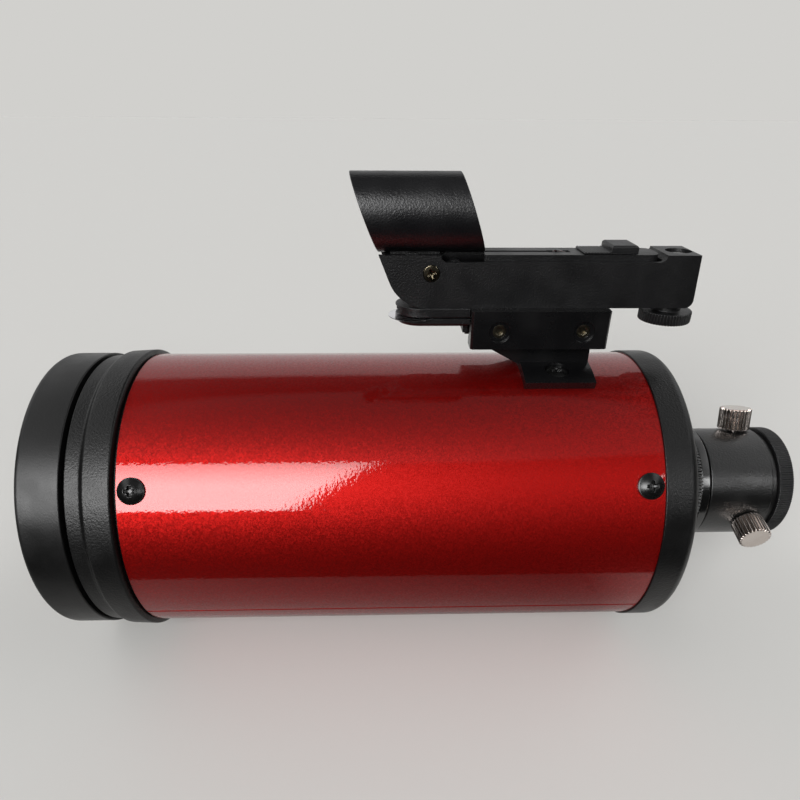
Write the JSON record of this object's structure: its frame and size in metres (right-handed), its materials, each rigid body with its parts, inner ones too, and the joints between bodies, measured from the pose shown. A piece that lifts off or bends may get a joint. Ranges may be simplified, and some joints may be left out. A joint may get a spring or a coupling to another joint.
{
  "type": "telescope",
  "caption": "Short Maksutov tube with dust cap, focus ring, plugged eyepiece holder and a reflex sight on a clamped foot, for a tabletop rocker base.",
  "frame": {"origin": "on the optical axis, level with the middle of the side bar, at the middle of the band of tube that a cradle or rocker box takes", "axes": "+X along the optical axis from the sky end to the eyepiece end, +Z from the axis to the sight, -Y towards the side away from the bar"},
  "size_m": [0.2351, 0.1024, 0.1459],
  "materials": {
    "red_tube": "glossy metallic red paint",
    "black_casting": "cast, with fine-textured satin black paint",
    "black_plastic": "matte black moulding",
    "cap_plastic": "smooth satin black moulding",
    "black_anodised": "black anodised, fine blasted",
    "black_steel": "blackened steel",
    "nickel": "nickel plated",
    "steel": "zinc plated",
    "optical_glass": "polished, coated",
    "mirror_coat": "aluminised",
    "mirror_glass": "aluminised front face",
    "red_led": "clear red epoxy",
    "clear_film": "clear film"
  },
  "bodies": {
    "tube_assembly": {"main_tube": "red_tube", "front_cell": "black_casting", "corrector_lens": "optical_glass", "lens_ring": "black_anodised", "secondary_mirror": "mirror_coat", "secondary_baffle": "black_anodised", "front_screws": "black_steel", "rear_screws": "black_steel", "rear_cell": "black_casting", "rear_neck": "black_anodised", "baffle_tube": "black_anodised", "neck_collar": "black_anodised", "eyepiece_holder": "black_anodised", "side_bar": "black_casting", "bar_screws": "black_steel", "bar_nuts": "steel", "finder_foot": "black_casting", "foot_screws": "black_steel", "foot_nuts": "steel", "finder_clamp": "black_plastic", "clamp_screws": "black_steel", "sight_channel": "black_plastic", "pivot_screws": "nickel", "channel_screws": "black_steel", "battery_housing": "black_plastic"},
    "front_cap": {"dust_cap": "cap_plastic"},
    "bore_plug": {"eyepiece_plug": "black_plastic", "plug_sleeve": "black_plastic"},
    "focus_drive": {"focus_ring": "black_anodised"},
    "mirror_unit": {"mirror_carriage": "black_anodised", "drive_pins": "steel", "primary_mirror": "mirror_glass", "mirror_retainer": "black_anodised"},
    "top_thumb": {"thumbscrew_top": "nickel"},
    "side_thumb": {"thumbscrew_side": "nickel"},
    "sight": {"sight_body": "black_plastic", "sight_hood": "black_plastic", "reflector_lens": "optical_glass", "led": "red_led"},
    "switch": {"power_slider": "black_plastic"},
    "height_adjuster": {"elevation_knob": "black_plastic", "elevation_screw": "steel", "screw_clip": "steel"},
    "battery_drawer": {"battery_tray": "black_plastic", "battery_cell": "steel"},
    "pull_film": {"battery_film": "clear_film"}
  },
  "joints": [
    {"name": "cap_off", "type": "slide", "parent": "tube_assembly", "child": "front_cap", "axis": [-1, 0, 0], "range_m": [0, 0.04]},
    {"name": "plug_out", "type": "slide", "parent": "tube_assembly", "child": "bore_plug", "axis": [1, 0, 0], "range_m": [0, 0.03]},
    {"name": "focus_turn", "type": "hinge", "parent": "tube_assembly", "child": "focus_drive", "pos_m": [0.0967, 0, 0], "axis": [1, 0, 0], "range_deg": [-541, 541]},
    {"name": "mirror_travel", "type": "slide", "parent": "tube_assembly", "child": "mirror_unit", "axis": [-1, 0, 0], "range_m": [-0.003, 0.003]},
    {"name": "top_thumb_turn", "type": "hinge", "parent": "tube_assembly", "child": "top_thumb", "pos_m": [0.1207, 0, 0], "axis": [0, 0.2419, 0.9703], "range_deg": [0, 720]},
    {"name": "side_thumb_turn", "type": "hinge", "parent": "tube_assembly", "child": "side_thumb", "pos_m": [0.1207, 0, 0], "axis": [0, -0.9613, -0.2756], "range_deg": [0, 720]},
    {"name": "height_turn", "type": "hinge", "parent": "tube_assembly", "child": "height_adjuster", "pos_m": [0.0855, 0, 0.06], "axis": [0, 0, 1], "range_deg": [-1300, 1300]},
    {"name": "sight_tilt", "type": "hinge", "parent": "tube_assembly", "child": "sight", "pos_m": [0.0136, 0, 0.0734], "axis": [0, 1, 0], "range_deg": [-1.5, 1.5]},
    {"name": "switch_slide", "type": "slide", "parent": "sight", "child": "switch", "axis": [-1, 0, 0], "range_m": [0, 0.003]},
    {"name": "drawer_slide", "type": "slide", "parent": "tube_assembly", "child": "battery_drawer", "axis": [-1, 0, 0], "range_m": [0, 0.026]},
    {"name": "film_pull", "type": "slide", "parent": "battery_drawer", "child": "pull_film", "axis": [-1, 0, 0], "range_m": [0, 0.024]}
  ],
  "couplings": [
    {"joint": "focus_turn", "follows": "mirror_travel", "rad_per_m": 3141.6},
    {"joint": "sight_tilt", "follows": "height_turn", "ratio": 0.0011}
  ]
}
